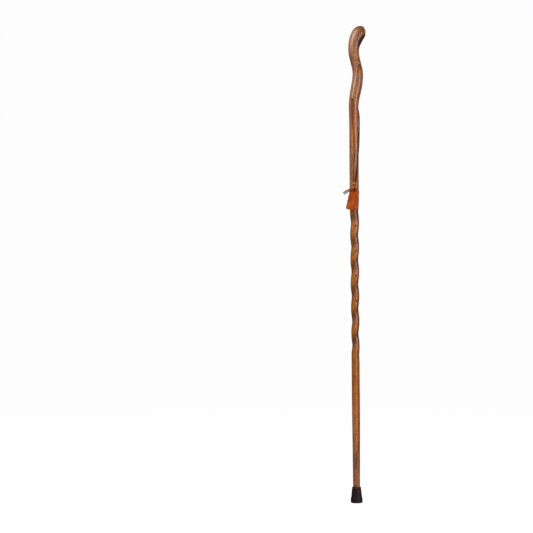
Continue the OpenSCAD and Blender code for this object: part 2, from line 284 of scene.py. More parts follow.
woodSet = {
    # one layer's colours, from the gold of its first growth to the pale late growth
    "layer": ((0.0, linear(158, 96, 20)), (0.14, linear(198, 126, 34)), (0.36, linear(208, 140, 66)),
              (0.56, linear(226, 170, 132)), (0.62, linear(184, 108, 32)), (0.78, linear(208, 138, 74)),
              (0.95, linear(230, 178, 144)), (1.0, linear(222, 168, 134))),
    "plain": linear(224, 166, 128), "streak": linear(98, 54, 26), "pore": linear(52, 26, 12),
    "line": linear(52, 28, 14), "golden": linear(246, 232, 160), "endGrainAndShade": linear(134, 108, 106),
    # the tone from the tip (0) to the head (1): more golden in the middle than at either end
    "along": ((0.0, (1.05, 1.05, 0.96, 1)), (0.09, (1.04, 1.05, 0.96, 1)), (0.145, (1.26, 1.2, 0.86, 1)),
              (0.195, (1.28, 1.18, 0.76, 1)), (0.23, (1.17, 1.05, 0.56, 1)), (0.33, (1.12, 1.03, 0.38, 1)),
              (0.625, (1.12, 1.03, 0.38, 1)), (0.67, (0.95, 1.0, 0.96, 1)), (0.84, (0.97, 1.03, 0.97, 1)),
              (0.89, (0.96, 1.06, 1.06, 1)), (1.0, (0.96, 1.06, 1.06, 1))),
    "contrast": 1.45,
    # what makes a layer unsteady: changes in a millimetre along x, y and z, layers moved, detail
    "wander": ((0.015, 0.015, 0.005), 0.45), "waver": ((0.07, 0.07, 0.01), 0.16),
    "ragged": ((1.6, 1.6, 0.05), 0.1, 3.0),
    # patterns: changes in a millimetre along x, y and z, detail, roughness; and the values that show
    "clear": ((0.05, 0.05, 0.01),), "clearRange": (0.34, 0.54),
    "fibre": ((1.3, 1.3, 0.09), 5.0, 0.7), "fibreRange": (0.42, 0.6),
    "streaks": ((0.75, 0.75, 0.014), 4.0, 0.65), "streakRange": (0.5, 0.64),
    "pores": ((3.2, 3.2, 0.11),), "poreRange": (0.56, 0.66), "earlyPores": 0.1, "earlyRange": (0.02, 0.34),
    # a dark line parts the layers and a second one lies inside each: how far they fade, in millimetres
    "lineFade": (0.15, 0.65), "lineSpread": 0.024, "secondFade": (0.15, 0.6), "secondAt": 0.6,
    # layers a millimetre along the surface: the fewest that count, and where flat grain ends
    "leastCrowd": 0.035, "flatRange": (0.07, 0.135),
    # how strongly each mark shows, and the heights between which the lines grow clear
    "fibreShare": 0.42, "streakShare": 0.6, "poreShare": 0.7, "lineShare": 0.95, "secondShare": 0.9,
    # hollowShare is the strength of the painted shade in the carved hollows
    "hollowShare": 0.5, "goldenShare": 0.75, "lineHeights": (1100, 1210),
    # one golden layer lies open along the front of the neck, between the legs of the thong
    "goldenAcross": (-5, 1, 4, 9), "goldenDepth": (-6, -2), "goldenHeights": (880, 960, 1140, 1210),
    # eyes, smears and the painted shadow are on the front alone, and end between these depths
    "front": (-8, -4),
    "eyes": {"across": 3.0, "first": 592, "apart": 73, "halfWidth": 1.9, "halfHeight": 4.4,
             "heights": (560, 561, 850, 851), "fade": (0.5, 1.4)},
    # smears are leaf-shaped: [across, height, half width, half height, lean]; the first, on the neck beside
    # the front leg, is a dark figure with the leg's painted shadow, the second a dark figure low on the
    # shaft
    "smearsAndShadow": [[2.6, 1021, 2.3, 27, 0.09], [0.6, 126, 1.4, 32, 0.02]], "smearFade": (0.1, 1.2),
    "smearRange": (0.35, 0.6),
}


def eyesOn(x, y, z):
    # dark eyes on the carving's bulges: an ellipse about a place that comes again and again up the staff
    eyes = woodSet["eyes"]
    turn = (z - eyes["first"]) / eyes["apart"] + 0.5
    across = (x - eyes["across"]) / eyes["halfWidth"]
    along = (turn.maths("FRACT") - 0.5) * (eyes["apart"] / eyes["halfHeight"])
    spot = 1 - (across * across + along * along).between(*eyes["fade"])
    return spot * (1 - y.between(*woodSet["front"])) * z.within(*eyes["heights"])


def smearsAndShadowOn(x, y, z):
    # each dark smear, the painted shadow beside the front leg among them, is a long ellipse that leans: it
    # moves across as it goes up
    total = 0
    for across, height, halfWidth, halfHeight, lean in woodSet["smearsAndShadow"]:
        up = (z - height) / halfHeight
        aside = (x - across - up * (lean * halfHeight)) / halfWidth
        total = total + (1 - (aside * aside + up * up).between(*woodSet["smearFade"]))
    return total * (1 - y.between(*woodSet["front"]))


def oiledOak():
    w = woodSet
    material = newFinish("oiledOak")
    place = placeOn(material)
    x, y, z = place.split()
    # the layer number, made unsteady: its whole part names a layer and the rest goes across the layer
    unsteady = place.sway(*w["wander"]) + place.sway(*w["waver"])
    layer = place.attribute("layer") + unsteady + place.sway(*w["ragged"])
    phase = layer.maths("FRACT")
    chance = layer.node("ShaderNodeTexWhiteNoise", {"noise_dimensions": "1D"}, {"W": layer.maths("FLOOR")})
    early = 1 - phase.between(*w["earlyRange"])
    # a line keeps its width where the surface runs along the layers: layers over layers a millimetre
    crowd = place.attribute("crowd").maths("MAXIMUM", w["leastCrowd"])
    flat = 1 - crowd.between(*w["flatRange"])
    fromLine = (0.5 - (phase - 0.5).maths("ABSOLUTE") - w["lineSpread"] * flat) / crowd
    fromSecond = (phase - w["secondAt"]).maths("ABSOLUTE") / crowd
    clear = place.noise(*w["clear"]).between(*w["clearRange"])
    line = (1 - fromLine.between(*w["lineFade"])) * clear.atLeast(0.45)
    second = (1 - fromSecond.between(*w["secondFade"])) * clear.atLeast(0.3) * flat
    fibre = place.noise(*w["fibre"])
    streaks = place.noise(*w["streaks"]).between(*w["streakRange"])
    pores = (place.noise(*w["pores"]) + early * w["earlyPores"]).between(*w["poreRange"])
    endGrainAndShade = place.attribute("endGrainAndShade")
    eyes = eyesOn(x, y, z)
    smearsAndShadow = smearsAndShadowOn(x, y, z) * fibre.between(*w["smearRange"]).atLeast(0.6)
    golden = x.within(*w["goldenAcross"]) * (1 - y.between(*w["goldenDepth"]))
    golden = golden * z.within(*w["goldenHeights"])
    # the colours, from the layers up to what lies over them
    shown = (clear * chance.atLeast(0.4)).atLeast(0.7) * flat.atLeast(0.15)
    colour = shown.mixed(w["plain"], phase.ramp(w["layer"]))
    colour = (fibre.between(*w["fibreRange"]) * w["fibreShare"]).mixed(colour, w["streak"])
    colour = (streaks * w["streakShare"]).mixed(colour, w["streak"])
    colour = (pores * w["poreShare"]).mixed(colour, w["pore"])
    drawn = line * w["lineShare"] + second * w["secondShare"]
    colour = (drawn * z.between(*w["lineHeights"]).atLeast(0.5)).mixed(colour, w["line"])
    colour = colour.times((z / staffLength).ramp(w["along"]))
    # painted shade in the carved hollows, darkest where the spiral cuts deepest
    colour = colour.times(w["streak"], place.attribute("hollow") * w["hollowShare"])
    colour = colour.times(w["golden"], golden * w["goldenShare"])
    # the dark smears, the one beside the front leg partly the leg's painted shadow
    colour = smearsAndShadow.mixed(colour, w["line"])
    colour = eyes.mixed(colour, w["pore"])
    # painted shade under the head's overhang, with the darker stain of its end grain
    colour = colour.times(w["endGrainAndShade"], endGrainAndShade)
    colour = colour.node("ShaderNodeGamma", inputs={"Color": colour, "Gamma": w["contrast"]})
    return finished(material, {
        "Base Color": colour,
        "Roughness": 0.38 + 0.14 * fibre + 0.1 * pores + 0.2 * endGrainAndShade + 0.4 * eyes,
        "Coat Weight": (0.6 - 0.55 * endGrainAndShade) * (1 - eyes),
        "Normal": relief(0.5 * fibre - 0.6 * pores - 0.4 * line - eyes, 0.25, 0.6),
        "Coat Roughness": 0.3, "Specular IOR Level": 0.3})


laceSet = {
    # the light colour on the front leg's top is painted light, and the shaded colour on the leg from behind
    # is painted shade
    "faceDark": linear(66, 17, 8), "faceLight": linear(112, 36, 14), "paintedLight": linear(128, 49, 19),
    "shaded": linear(68, 18, 6), "cutLight": linear(222, 158, 78), "cutDark": linear(170, 102, 44),
    "mottle": ((0.35, 0.35, 0.16), 4.0, 0.6), "strands": ((1.6, 1.6, 1.6), 4.0, 0.6),
    "cutRange": (0.87, 0.95), "behind": (2, 7), "paintedLightHeights": (980, 1110), "paintedLightShare": 0.8,
    "shadedShare": 0.9,
}


def laceLeather():
    material = newFinish("laceLeather")
    place = placeOn(material)
    x, z = place.split()[::2]
    cut = place.attribute("cut").between(*laceSet["cutRange"])
    mottle = place.noise(*laceSet["mottle"])
    strands = place.noise(*laceSet["strands"])
    # painted light on the top of the front leg, and painted shade on the leg from behind, at the right
    behind = x.between(*laceSet["behind"])
    paintedLight = z.between(*laceSet["paintedLightHeights"]) * (1 - behind) * laceSet["paintedLightShare"]
    face = mottle.between(0.3, 0.7).mixed(laceSet["faceDark"], laceSet["faceLight"])
    face = paintedLight.mixed(face, laceSet["paintedLight"])
    face = (behind * laceSet["shadedShare"]).mixed(face, laceSet["shaded"])
    edge = strands.between(0.3, 0.65).mixed(laceSet["cutDark"], laceSet["cutLight"])
    return finished(material, {
        "Base Color": cut.mixed(face, edge),
        "Roughness": 0.52 + 0.12 * mottle + 0.25 * cut,
        "Normal": relief(strands + 0.5 * mottle, 0.08, 0.4),
        "Specular IOR Level": 0.1})


hideSet = {
    "smooth": linear(190, 92, 14), "deep": linear(148, 58, 7), "burnished": linear(100, 44, 14),
    "flesh": linear(186, 118, 66), "mottle": ((0.09, 0.09, 0.06), 4.0, 0.6),
    "nap": ((2.6, 2.6, 2.0), 4.0, 0.7), "pebbles": 1.4, "pebbleRange": (0.02, 0.2), "creaseShadeShare": 0.25,
    "burnishShare": 0.75,
}


def tagLeather():
    material = newFinish("tagLeather")
    place = placeOn(material)
    mottle = place.noise(*hideSet["mottle"])
    nap = place.noise(*hideSet["nap"])
    pebbles = place.node("ShaderNodeTexVoronoi", {"feature": "DISTANCE_TO_EDGE"},
                         {"Vector": place, "Scale": hideSet["pebbles"], "Randomness": 1.0})
    pebbles = pebbles.between(*hideSet["pebbleRange"])
    back = place.attribute("back").between(0.4, 0.6)
    front = mottle.between(0.3, 0.7).mixed(hideSet["deep"], hideSet["smooth"])
    # painted shade in the creases between the pebbles
    front = ((1 - pebbles) * hideSet["creaseShadeShare"]).mixed(front, hideSet["deep"])
    flesh = nap.between(0.3, 0.7).mixed(hideSet["deep"], hideSet["flesh"])
    burnish = place.attribute("rim") * hideSet["burnishShare"]
    return finished(material, {
        "Base Color": burnish.mixed(back.mixed(front, flesh), hideSet["burnished"]),
        "Roughness": 0.46 + 0.1 * mottle + 0.35 * back,
        "Normal": relief(0.6 * pebbles + nap * back.atLeast(0.15), 0.1, 0.5),
        "Specular IOR Level": 0.2})


rubberSet = {
    "black": linear(33, 13, 17), "dusty": linear(62, 36, 40), "dust": ((0.25, 0.25, 0.2), 5.0, 0.7),
    "scuffs": ((0.9, 0.9, 2.5), 4.0, 0.7), "scuffRange": (0.52, 0.7), "scuffHeights": (2, 12),
    "dustShare": 0.3, "scuffShare": 0.55, "skin": ((2.2, 2.2, 2.2), 3.0),
}


def mouldedRubber():
    material = newFinish("mouldedRubber")
    place = placeOn(material)
    z = place.split()[2]
    dust = place.noise(*rubberSet["dust"])
    scuffs = place.noise(*rubberSet["scuffs"]).between(*rubberSet["scuffRange"])
    scuffed = scuffs * (1 - z.between(*rubberSet["scuffHeights"]))
    wear = dust.between(0.35, 0.8) * rubberSet["dustShare"] + scuffed * rubberSet["scuffShare"]
    return finished(material, {
        "Base Color": wear.mixed(rubberSet["black"], rubberSet["dusty"]),
        "Roughness": 0.5 + 0.25 * dust,
        "Normal": relief(place.noise(*rubberSet["skin"]) + 0.4 * scuffs, 0.12, 0.4),
        "Specular IOR Level": 0.35})


steelSet = {"dark": linear(150, 152, 154), "bright": linear(196, 198, 200), "rings": 6.0}


def turnedSteel():
    material = newFinish("turnedSteel")
    x, y = placeOn(material).split()[:2]
    radius = (x * x + y * y).maths("SQRT")
    rings = radius.node("ShaderNodeTexNoise", {"noise_dimensions": "1D"},
                        {"W": radius, "Scale": steelSet["rings"], "Detail": 3.0})
    return finished(material, {
        "Base Color": rings.mixed(steelSet["dark"], steelSet["bright"]),
        "Roughness": 0.28 + 0.2 * rings, "Metallic": 1.0})


def coat(piece, material):
    piece.data.materials.clear()
    piece.data.materials.append(material)


def dress(piece, material, body, node):
    coat(piece, material)
    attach(piece, body)
    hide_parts(node)


oak, lace, tagHide, rubber = oiledOak(), laceLeather(), tagLeather(), mouldedRubber()
print("finishes: oak, lace, tag and rubber")

# Oak staff: rings square to a bent centre line, with the spiral carved out of their radius
staffSet = {
    "spigotEnd": 11.6, "spigotD": 20, "spigotRing": 30, "spigotGap": 0.05, "chamfer": 0.7,
    "shaftStart": 46.25, "shaftStartD": 20.5, "lowerHeight": 300, "lowerD": 23.4, "upperD": 27,
    "neckD": 29.6, "neckTaper": 50,
    # the handle: its places down from the top, how far they lie to the side, and its thicknesses
    "bendStart": 238, "outerBend": 142, "innerBend": 72, "outerOffset": 13, "innerOffset": 1.2,
    "headOffset": 15.5, "headLean": 30, "outerBendD": 31.9, "gripD": 29.3, "innerBendD": 31.5,
    "headD": 40.3, "headRound": 26, "headTaper": 1.2, "flatness": 0.9,
    # the carved spiral
    "spiralStart": 402, "spiralLength": 500, "pitch": 72, "depth": 2.8, "fadeOut": 70, "azimuth": -115,
    "hollowPower": 1.5,
    # the wood's slight wobble: waves [times round, height of a radian], and where they fade in and out
    "wobble": 0.1, "waves": ((2, 31), (3, -47)), "wobbleStart": 60, "wobbleIn": 80, "wobbleOut": 60,
    "sides": 96, "spiralStep": 1.25, "plainStep": 4, "handleStep": 2.4, "capRings": 26, "nearby": 0.25,
}
# The thong's hole: its mouths flare by shares of "flare", just inside the surface
holeSet = {"d": 6, "drop": 217, "azimuth": -120, "flare": 0.9, "flareDepth": 1.6, "sides": 48, "drill": 30}

headLean = math.radians(staffSet["headLean"])
# the head's middle is so high that its rounded end just reaches the staff's length
domeTurn = np.radians(np.arange(91))
domeR = staffSet["headD"] / 2 * np.abs(np.cos(domeTurn)) ** staffSet["headTaper"]
domeRise = staffSet["headRound"] * np.sin(domeTurn)
headZ = staffLength - (domeR * math.sin(headLean) + domeRise * math.cos(headLean)).max()
bendStartZ, outerZ, innerZ = (staffLength - staffSet[key] for key in ("bendStart", "outerBend", "innerBend"))
holeZ = staffLength - holeSet["drop"]
spiralEnd = staffSet["spiralStart"] + staffSet["spiralLength"]

# stations of the centre line [height, across, slope], and of the thickness [height, diameter]
spineZ, spineX, spineSlope = np.array([
    [staffSet["shaftStart"], 0, 0], [bendStartZ, 0, 0], [outerZ, staffSet["outerOffset"], 0],
    [innerZ, staffSet["innerOffset"], 0], [headZ, staffSet["headOffset"], math.tan(headLean)]]).T
thickZ, thickD = np.array([
    [staffSet["shaftStart"], staffSet["shaftStartD"]], [staffSet["lowerHeight"], staffSet["lowerD"]],
    [staffSet["spiralStart"], staffSet["lowerD"]], [spiralEnd, staffSet["upperD"]],
    [bendStartZ - staffSet["neckTaper"], staffSet["upperD"]], [holeZ, staffSet["neckD"]],
    [(holeZ + outerZ) / 2, staffSet["outerBendD"]],
    [outerZ, (staffSet["outerBendD"] + staffSet["gripD"]) / 2],
    [(outerZ + innerZ) / 2, staffSet["gripD"]], [innerZ, staffSet["innerBendD"]],
    [headZ, staffSet["headD"]]]).T
thickSlope = np.append(neighbourSlopes(thickZ[:-1], thickD[:-1]), 0)


def centreX(z):  # how far the centre line lies to the side
    return cubicThrough(spineZ, spineX, spineSlope, z)


def hollowShare(z, azimuth):
    # a hollow whose direction turns once in a pitch, right-handed, and fades at both ends
    start, run = staffSet["spiralStart"], staffSet["fadeOut"]
    facing = np.radians(staffSet["azimuth"] + 360 * (z - start) / staffSet["pitch"])
    strength = fade((z - start) / run) * fade((spiralEnd - z) / run)
    return strength * ((1 + np.cos(azimuth - facing)) / 2) ** staffSet["hollowPower"]


def staffRadius(z, azimuth):  # half the thickness, less the spiral's depth times its share
    return cubicThrough(thickZ, thickD, thickSlope, z) / 2 - staffSet["depth"] * hollowShare(z, azimuth)


def staffGrid():
    # the shaft: a ring of the radius about each place on the centre line, leaning with it
    s = staffSet
    around = ringAngles(s["sides"])
    z = np.concatenate([
        np.arange(s["shaftStart"], s["spiralStart"], s["plainStep"]),
        np.arange(s["spiralStart"], spiralEnd, s["spiralStep"]),
        np.arange(spiralEnd, bendStartZ, s["plainStep"]),
        np.arange(bendStartZ, headZ, s["handleStep"])])[:, None]
    lean = np.arctan((centreX(z + s["nearby"]) - centreX(z - s["nearby"])) / (2 * s["nearby"]))
    wobble = s["wobble"] * sum(np.sin(times * around + z / radian) for times, radian in s["waves"])
    wobble = wobble * fade((z - s["wobbleStart"]) / s["wobbleIn"]) * fade((headZ - z) / s["wobbleOut"])
    radius = staffRadius(z, around) + wobble
    flat = 1 - (1 - s["flatness"]) * fade((z - innerZ) / (headZ - innerZ))
    u, v = radius * np.cos(around), radius * np.sin(around) * flat
    shaft = np.stack([centreX(z) + u * np.cos(lean), v, z - u * np.sin(lean)], -1)
    # the rounded end: ring radius falls with the cosine of the angle up, raised to the taper
    up = np.radians(np.linspace(0, 90, s["capRings"], endpoint=False))[:, None]
    radius, rise = s["headD"] / 2 * np.cos(up) ** s["headTaper"], s["headRound"] * np.sin(up)
    u, v = radius * np.cos(around), radius * np.sin(around) * s["flatness"]
    cap = np.stack([s["headOffset"] + u * math.cos(headLean) + rise * math.sin(headLean), v,
                    headZ - u * math.sin(headLean) + rise * math.cos(headLean)], -1)
    # the turned spigot inside the tip
    full = s["spigotD"] / 2
    radius = np.array([full - s["chamfer"], full, full, full])[:, None]
    height = np.array([s["spigotEnd"], s["spigotEnd"] + s["chamfer"], s["spigotRing"],
                       s["shaftStart"] - s["spigotGap"]])[:, None]
    spigot = np.stack([radius * np.cos(around), radius * np.sin(around), height + 0 * around], -1)
    carved = [np.zeros(spigot.shape[:2]), hollowShare(z, around), np.zeros(cap.shape[:2])]
    return np.concatenate([spigot, shaft, cap]), np.concatenate(carved)


# Growth layers of the wood: which way they face, how much they bend, and the rows [height, x, y] that the
# heart of the tree wanders through, as the lines and arches on the handle show
growthSet = {
    "turn": -51.3, "bend": 0.059, "start": 4.4, "step": 6.76,
    "heart": [[40, -4, 6], [300, -2, 9], [620, -5, 5], [900, -3, 8], [1120, -3.6, 8], [1186, -1.9, 5.6],
              [1218, -0.9, 2.2], [1250, 0, 0], [1296, 1.4, -1.2], [1330, 2.4, -0.6], [1360, 3.2, 1.1],
              [1400, 4.4, 4.6]],
    # end grain and painted shade: the lowest height and the run to full strength, the same for a surface
    # that leans over (painted shade under the overhang, with end grain) or back (end grain alone), and the
    # share of the latter
    "endHeight": 1180, "endRun": 120, "over": 0.02, "overRun": 0.36, "back": 0.3, "backRun": 0.5,
    "backShare": 0.4,
}


def slopeRound(values):  # the change from one ring point to the next, taken over both neighbours
    return (np.roll(values, -1, 1) - np.roll(values, 1, 1)) / 2


def growthLayers(grid):
    # the layer number is the way along their direction, less a square term across it that bends them
    rows = np.array(growthSet["heart"], float)
    height, heart = rows[:, 0], rows[:, 1:]
    offset = grid[..., :2] - cubicThrough(height, heart, neighbourSlopes(height, heart), grid[..., 2])
    turn = math.radians(growthSet["turn"])
    along = offset @ [math.cos(turn), math.sin(turn)]
    across = offset @ [-math.sin(turn), math.cos(turn)]
    return (along - growthSet["bend"] * across ** 2 / 2 - growthSet["start"]) / growthSet["step"]


def endGrainAndShadeOf(grid):
    # end grain takes up more stain, and painted shade darkens the handle where the wood leans over and faces
    # down; where it leans back the end grain alone darkens it less
    e = growthSet
    facing = unit(np.cross(slopeRound(grid), np.gradient(grid, axis=0)))[..., 2]
    over, back = fade((-facing - e["over"]) / e["overRun"]), fade((facing - e["back"]) / e["backRun"])
    return (over + e["backShare"] * back) * fade((grid[..., 2] - e["endHeight"]) / e["endRun"])


def crowdOf(grid, layer, leastArea=1e-9):
    # layers a millimetre along the surface: the size of the layer number's gradient on the grid
    du, dv = np.gradient(grid, axis=0), slopeRound(grid)
    lu, lv = np.gradient(layer, axis=0), slopeRound(layer)
    uu, uv, vv = (du * du).sum(-1), (du * dv).sum(-1), (dv * dv).sum(-1)
    steep = np.maximum(vv * lu ** 2 - 2 * uv * lu * lv + uu * lv ** 2, 0)
    return np.sqrt(steep / np.maximum(uu * vv - uv ** 2, leastArea))


woodGrid, carved = staffGrid()
layers = growthLayers(woodGrid)
headTop = [staffSet["headOffset"] + staffSet["headRound"] * math.sin(headLean), 0,
           headZ + staffSet["headRound"] * math.cos(headLean)]
staff = skin("carvedStaff", woodGrid, ([0, 0, staffSet["spigotEnd"]], headTop), marks={
    "hollow": carved, "layer": layers, "crowd": crowdOf(woodGrid, layers), "endGrainAndShade": endGrainAndShadeOf(woodGrid)})

# The hole is cut with a drill: rows [how far out, share of the flare], the same on both sides of the staff
holeX = float(centreX(holeZ))
neckR = staffSet["neckD"] / 2
mouthRows = np.array([[holeSet["drill"], 2.2], [neckR + 1, 1.6], [neckR - holeSet["flareDepth"] / 2, 0.3],
                      [neckR - holeSet["flareDepth"], 0]])
reach, flare = np.vstack([mouthRows * [-1, 1], mouthRows[::-1]]).T
drill = lathe("drill", np.stack([holeSet["d"] / 2 + flare * holeSet["flare"], reach], -1), holeSet["sides"],
              ([0, 0, -holeSet["drill"]], [0, 0, holeSet["drill"]]))
drill.data.transform(Matrix.Translation(Vector((holeX, 0, holeZ)) * mm)
                     @ Matrix.Rotation(math.radians(holeSet["azimuth"]), 4, "Z")
                     @ Matrix.Rotation(math.pi / 2, 4, "Y"))
bore = staff.modifiers.new("bore", "BOOLEAN")
bore.operation, bore.solver, bore.object = "DIFFERENCE", "EXACT", drill
bpy.context.view_layer.update()
staff.data = bpy.data.meshes.new_from_object(staff.evaluated_get(bpy.context.evaluated_depsgraph_get()))
staff.modifiers.clear()
bpy.data.objects.remove(drill)
dress(staff, oak, "staff", "oak_staff")
print("staff:", len(staff.data.polygons), "faces, hole cut")

# Rubber tip: a lathe profile from the middle of the sole, round the outside and down the socket
tipSet = {
    "height": 46, "footR": 17.3, "footHeight": 14, "footEdge": 2.6, "footSoft": 0.8, "step": 1.2,
    "stepSoft": 0.25, "stepShare": 0.35, "coneStart": 1.2, "coneRings": 12, "mouthR": 12.85, "lip": 0.9,
    "treadR": (5, 9.85), "treadWidth": 2, "treadDepth": 2, "treadSoft": 0.45, "treadSlope": 0.2,
    "soleRing": 2.5, "socketR": 10.05, "socketFloor": 10, "socketSoft": 0.5, "socketRings": (12, 4),
    "floorSoft": 0.1, "floorRing": 5, "sides": 120,
}


def tipProfile():
    t = tipSet
    # each groove of the tread goes in, across and out again
    soft, inset, width, depth = t["treadSoft"], t["treadSlope"], t["treadWidth"], t["treadDepth"]
    tread = [[[r - soft, 0], [r, soft], [r + inset, depth], [r + width - inset, depth], [r + width, soft],
              [r + width + soft, 0]] for r in t["treadR"]]
    coneR, coneZ = t["footR"] - t["step"], t["footHeight"] + t["step"]
    slope = (t["mouthR"] - coneR) / (t["height"] - coneZ)
    cone = np.linspace(coneZ + t["coneStart"], t["height"] - t["lip"], t["coneRings"])
    upper, lower = t["socketRings"]
    return np.vstack([
        [[t["soleRing"], 0]], *tread,
        arc((t["footR"] - t["footEdge"], t["footEdge"]), t["footEdge"], -90, 0, 9),
        arc((t["footR"] - t["footSoft"], t["footHeight"] - t["footSoft"]), t["footSoft"], 0, 80, 6),
        [[coneR + t["stepSoft"], t["footHeight"] + t["step"] * t["stepShare"]], [coneR, coneZ]],
        np.stack([coneR + slope * (cone - coneZ), cone], -1),
        arc((t["mouthR"] - t["lip"], t["height"] - t["lip"]), t["lip"], 0, 90, 6),
        arc((t["socketR"] + t["socketSoft"], t["height"] - t["socketSoft"]), t["socketSoft"], 90, 180, 5),
        [[t["socketR"], t["height"] - upper], [t["socketR"], t["socketFloor"] + lower],
         [t["socketR"], t["socketFloor"] + t["floorSoft"]],
         [t["socketR"] - t["floorSoft"], t["socketFloor"]], [t["floorRing"], t["socketFloor"]]]])


tip = lathe("rubberFerrule", tipProfile(), tipSet["sides"], ([0, 0, 0], [0, 0, tipSet["socketFloor"]]))
dress(tip, rubber, "tip", "rubber_tip")
coat(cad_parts["tip_washer"], turnedSteel())
print("tip: ferrule and washer")

# Leather lace: a rounded bar carried along each stretch of the thong
thongSet = {
    "width": 3.6, "thick": 2.2, "corner": 4.5, "points": 32, "step": 1.0, "endBevel": 0.2, "endShrink": 0.86,
    "seat": 1.4, "knotDrop": 250, "knotStandoff": 6, "knotSide": -2,
}
# A leg leaves the hole at an azimuth. Its route is rows [drop below the hole, azimuth, stand-off], as in the
# part's source, but the rear leg stands a little further off where its edge is turned to the wood. Its
# turns are rows [drop, degrees] about its own length, from lying flat. Its end is two points from the knot's
# middle
frontSet = {
    "azimuth": -120,
    "route": [[1.4, -120, 0.5], [2.2, -119, 2.2], [4.6, -115, 3.3], [8, -112, 3.3], [13, -111, 2.9],
              [20, -111, 2.5], [32, -111, 2.2], [44, -111, 2.1], [60, -110, 2.1], [78, -109, 2.1],
              [96, -107, 2.1], [114, -106, 2.1], [132, -105, 2.1], [150, -103, 2.1], [168, -102, 2.1],
              [186, -100, 2.1], [204, -98, 2.2], [220, -96, 2.6], [232, -93.5, 3.3], [242, -90.5, 4.2]],
    "turns": [[0, 0], [70, 0], [96, -60], [112, -88], [140, -88], [168, -50], [186, -46], [225, -48],
              [250, -45]],
    "end": [[1.2, 0.6, 3], [0.9, 0.4, -3]],
}
rearSet = {
    "azimuth": 60,
    "route": [[1.4, 60, 0.5], [2.2, 60, 2.2], [4.6, 58, 3.3], [8, 55, 3.3], [13, 50, 2.9], [20, 41, 2.4],
              [30, 28, 2.1], [42, 16, 2.1], [56, 6, 2.2], [72, -2, 2.2], [88, -9, 2.1], [104, -16, 2.15],
              [122, -24, 2.15], [140, -33, 2.15], [158, -42, 2.05], [176, -50, 1.9], [194, -57, 1.9],
              [210, -63, 2], [222, -68, 2.4], [234, -74, 3.3], [243, -77, 4.2]],
    "turns": [[0, 0], [14, 0], [34, -60], [56, -78], [104, -66], [140, -48], [176, -34], [215, -24],
              [250, -16]],
    "end": [[3.2, 0.6, 3], [3.0, 0.4, -2]],
}
# A tail's route is points from the knot's middle, and the direction of its width shows a face and the upper
# cut edge to the front
upperSet = {
    "width": [-0.44, -0.46, 0.77],
    "route": [[0.4, -0.9, -1.4], [0, -1.3, -3], [-1.4, -2.1, -5.5], [-4.5, -2.6, -7.9], [-11, -2.7, -11.3],
              [-18, -2.7, -15], [-25, -2.6, -18.7], [-31.6, -2.5, -22.3]],
}
lowerSet = {
    "width": [-0.39, -0.71, 0.59],
    "route": [[1.2, -1.2, -2.2], [1, -2, -4.5], [0, -2.7, -7.8], [-2.6, -2.9, -10.7], [-9, -2.9, -14.4],
              [-16, -2.9, -18.5], [-23, -2.9, -22.7], [-30, -2.8, -26.9]],
}

knotZ = holeZ - thongSet["knotDrop"]
knotDepth = float(staffRadius(knotZ, math.radians(-90))) + thongSet["knotStandoff"]
knotMiddle = np.array([thongSet["knotSide"], -knotDepth, knotZ])


def laceStrand(name, rows):
    # rows [x, y, z, ax, ay, az]: the lace's middle and the direction of its width
    path, width = np.hsplit(smoothRoute(rows, thongSet["step"]), 2)
    bar = roundedBar(thongSet["width"], thongSet["thick"], thongSet["corner"], thongSet["points"])
    grid = sweep(path, unit(width), bar)
    # the cut ends: one ring drawn in a little, all of it raw leather
    along = unit(np.gradient(path, axis=0))
    tips = path[[0, -1]] + thongSet["endBevel"] * np.stack([-along[0], along[-1]])
    ends = tips[:, None] + thongSet["endShrink"] * (grid[[0, -1]] - path[[0, -1], None])
    grid = np.concatenate([ends[:1], grid, ends[1:]])
    cut = np.tile(np.abs(bar[:, 0]) / (thongSet["width"] / 2), (len(grid), 1))
    cut[[0, -1]] = 1
    return skin(name, grid, tips, marks={"cut": cut}), path


def legRows(leg):
    # the middle runs beside the staff at a drop, an azimuth and a stand-off, and the width turns from the
    # staff's tangent
    drop, azimuth, standoff = np.array(leg["route"], float).T
    z, facing = holeZ - drop, np.radians(azimuth)
    radius = staffRadius(z, facing) + standoff
    middle = np.stack([centreX(z) + radius * np.cos(facing), radius * np.sin(facing), z], -1)
    tangent = facing + np.pi / 2 + np.radians(np.interp(drop, *np.array(leg["turns"], float).T))
    width = np.stack([np.cos(tangent), np.sin(tangent), 0 * z], -1)
    start = [[holeX, 0, holeZ - thongSet["seat"]]]
    return np.hstack([np.vstack([start, middle, knotMiddle + leg["end"]]),
                      np.vstack([width[:1], width, width[-1:], width[-1:]])])


def withWidth(points, width):  # every point of a route with the one direction of width
    return np.hstack([points, np.tile(width, (len(points), 1))])


frontLeg, frontPath = laceStrand("frontLeg", legRows(frontSet))
rearLeg, rearPath = laceStrand("rearLeg", legRows(rearSet))

# The knot: both laces turn up at the left, arch over the front, go down the right and round the back
knotSet = {"radii": (5.1, 2.5), "front": -2.5, "middle": 0.5, "back": 2.6, "flare": 0.7}


